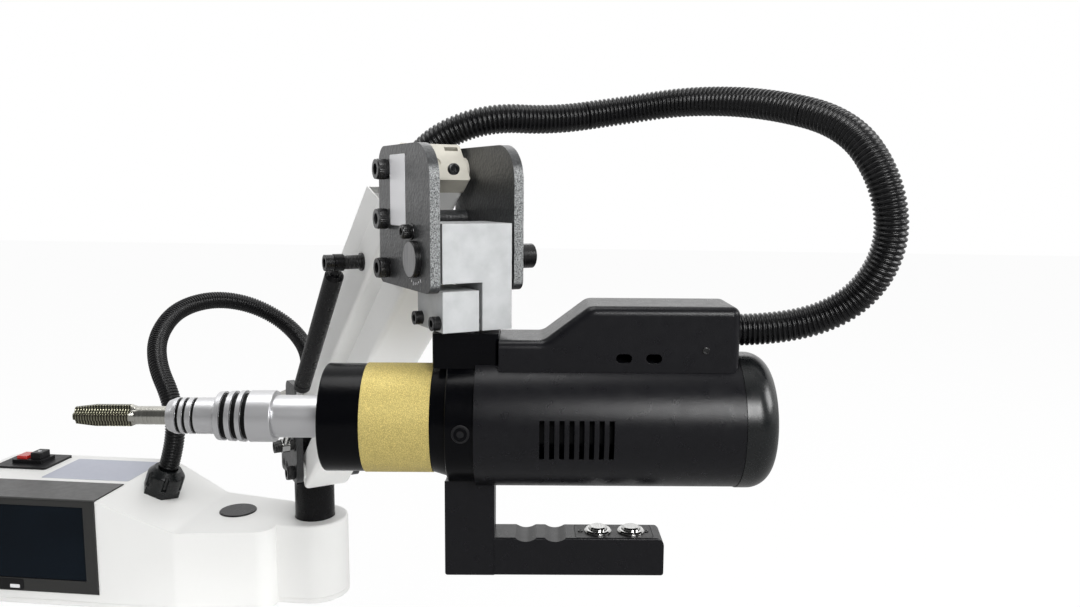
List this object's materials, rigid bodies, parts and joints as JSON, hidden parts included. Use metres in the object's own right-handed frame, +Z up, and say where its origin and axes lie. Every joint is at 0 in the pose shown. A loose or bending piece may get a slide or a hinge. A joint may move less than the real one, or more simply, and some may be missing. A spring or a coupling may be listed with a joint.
{
  "type": "arm tapping machine",
  "caption": "Bench tapping machine: parallelogram arm on a swivelling column carries a motor head with a tap, side handle and hoses; base box with touch screen.",
  "frame": {"origin": "on the column's axis at the underside of the base plate, where it stands on the bench", "axes": "+X along the base from the control box to the column, +Y to the back, +Z up"},
  "size_m": [1.0917, 0.6981, 0.614],
  "materials": {
    "base_paint": "satin powder coat",
    "dark_paint": "hammered black enamel",
    "arm_paint": "satin powder coat",
    "cover_paint": "satin powder coat",
    "turned_steel": "turned",
    "black_steel": "black oxide",
    "bright_steel": "polished",
    "machined_aluminium": "fine machined",
    "bronze": "machined",
    "gold_anodised": "gold anodised",
    "glass": "dark screen glass",
    "black_plastic": "fine grain",
    "gloss_plastic": "polished",
    "charcoal_plastic": "satin grain",
    "red_plastic": "moulded",
    "hose_plastic": "ribbed satin"
  },
  "bodies": {
    "base": {"base_housing": "base_paint", "base_plate": "turned_steel", "column_post": "black_steel", "screen_bezel": "black_plastic", "touch_screen": "glass", "switch_frame": "black_plastic", "platform_plug": "black_plastic", "base_gland": "black_plastic", "mains_inlet": "black_plastic", "drive_module": "machined_aluminium", "lower_hose": "hose_plastic"},
    "stop_button": {"stop_button": "red_plastic"},
    "start_button": {"start_button": "gloss_plastic"},
    "turret": {"turret_hub": "dark_paint", "turret_bush": "bronze", "turret_plate_left": "dark_paint", "turret_plate_right": "dark_paint", "turret_pivot_pins": "black_steel", "turret_cover": "cover_paint", "gas_lower_stud": "black_steel"},
    "upper_arm": {"upper_link": "arm_paint", "upper_link_end": "machined_aluminium", "cable_tray": "arm_paint", "gas_upper_stud": "black_steel", "upper_hose_rear": "hose_plastic"},
    "lower_arm": {"lower_link": "arm_paint", "lower_link_end": "machined_aluminium"},
    "gas_cylinder": {"gas_cylinder": "dark_paint"},
    "gas_rod": {"gas_rod": "bright_steel"},
    "fork": {"fork_plate_left": "dark_paint", "fork_plate_right": "dark_paint", "fork_pivot_pins": "black_steel", "fork_spacer": "black_steel", "tilt_pin": "turned_steel", "upper_hose_middle": "hose_plastic"},
    "knuckle": {"knuckle_block": "machined_aluminium", "clamp_block": "machined_aluminium", "clamp_screws": "black_steel"},
    "head": {"swivel_stub": "turned_steel", "mount_block": "dark_paint", "motor_collar": "dark_paint", "motor_shell": "charcoal_plastic", "motor_hump": "charcoal_plastic", "motor_cap": "gloss_plastic", "motor_core": "turned_steel", "gearbox_flange": "gloss_plastic", "gearbox_ring": "gold_anodised", "gearbox_nose": "gloss_plastic", "handle_bracket": "dark_paint", "handle_grip": "black_plastic", "button_panel": "black_plastic", "push_bezels": "bright_steel", "upper_hose_front": "hose_plastic"},
    "forward_button": {"forward_button": "bright_steel"},
    "reverse_button": {"reverse_button": "bright_steel"},
    "spindle": {"spindle": "turned_steel", "tap_adaptor": "turned_steel", "tap": "bright_steel"},
    "chuck_sleeve": {"chuck_sleeve": "turned_steel"}
  },
  "joints": [
    {"name": "turret_swivel", "type": "hinge", "parent": "base", "child": "turret", "pos_m": [0, 0, 0.155], "axis": [0, 0, 1], "range_deg": [-60, 115], "deforming": ["lower_hose"]},
    {"name": "arm_fold", "type": "hinge", "parent": "turret", "child": "upper_arm", "pos_m": [0.03384, -0.04833, 0.262], "axis": [-0.8192, -0.5736, 0], "range_deg": [-28, 10]},
    {"name": "lower_fold", "type": "hinge", "parent": "turret", "child": "lower_arm", "pos_m": [0.03384, -0.04833, 0.182], "axis": [-0.8192, -0.5736, 0], "range_deg": [-28.5, 10.5]},
    {"name": "fork_level", "type": "hinge", "parent": "upper_arm", "child": "fork", "pos_m": [0.23696, -0.33841, 0.53967], "axis": [-0.8192, -0.5736, 0], "range_deg": [-10.5, 28.5], "deforming": ["upper_hose_rear"]},
    {"name": "gas_pivot", "type": "hinge", "parent": "upper_arm", "child": "gas_cylinder", "pos_m": [0.13484, -0.27974, 0.45606], "axis": [-0.8192, -0.5736, 0], "range_deg": [-1, 2.2]},
    {"name": "gas_stroke", "type": "slide", "parent": "gas_cylinder", "child": "gas_rod", "axis": [-0.4101, 0.5857, -0.6991], "range_m": [-0.0185, 0.0068]},
    {"name": "head_tilt", "type": "hinge", "parent": "fork", "child": "knuckle", "pos_m": [0.27245, -0.3891, 0.4707], "axis": [-0.8192, -0.5736, 0], "range_deg": [0, 90], "deforming": ["upper_hose_middle"]},
    {"name": "head_swivel", "type": "hinge", "parent": "knuckle", "child": "head", "pos_m": [0.27532, -0.39319, 0.43], "axis": [0, 0, 1], "range_deg": [-30, 75], "deforming": ["upper_hose_front"]},
    {"name": "spindle_spin", "type": "hinge", "parent": "head", "child": "spindle", "pos_m": [0.27532, -0.39319, 0.344], "axis": [0.9936, 0.1132, 0], "continuous": true},
    {"name": "sleeve_slide", "type": "slide", "parent": "spindle", "child": "chuck_sleeve", "axis": [-0.9936, -0.1132, 0], "range_m": [0, 0.006], "stiffness_N_per_m": 1500, "springref_m": -0.003},
    {"name": "forward_press", "type": "slide", "parent": "head", "child": "forward_button", "axis": [0, 0, -1], "range_m": [0, 0.001], "stiffness_N_per_m": 400, "springref_m": -0.0005},
    {"name": "reverse_press", "type": "slide", "parent": "head", "child": "reverse_button", "axis": [0, 0, -1], "range_m": [0, 0.001], "stiffness_N_per_m": 400, "springref_m": -0.0005},
    {"name": "stop_press", "type": "slide", "parent": "base", "child": "stop_button", "axis": [0, 0, -1], "range_m": [0, 0.003], "stiffness_N_per_m": 400, "springref_m": -0.001},
    {"name": "start_press", "type": "slide", "parent": "base", "child": "start_button", "axis": [0, 0, -1], "range_m": [0, 0.003], "stiffness_N_per_m": 400, "springref_m": -0.001}
  ],
  "couplings": [
    {"joint": "lower_fold", "follows": "arm_fold", "ratio": 1},
    {"joint": "fork_level", "follows": "arm_fold", "ratio": -1},
    {"joint": "gas_pivot", "follows": "arm_fold", "ratio": -0.066},
    {"joint": "gas_stroke", "follows": "arm_fold", "m_per_rad": 0.0374}
  ]
}
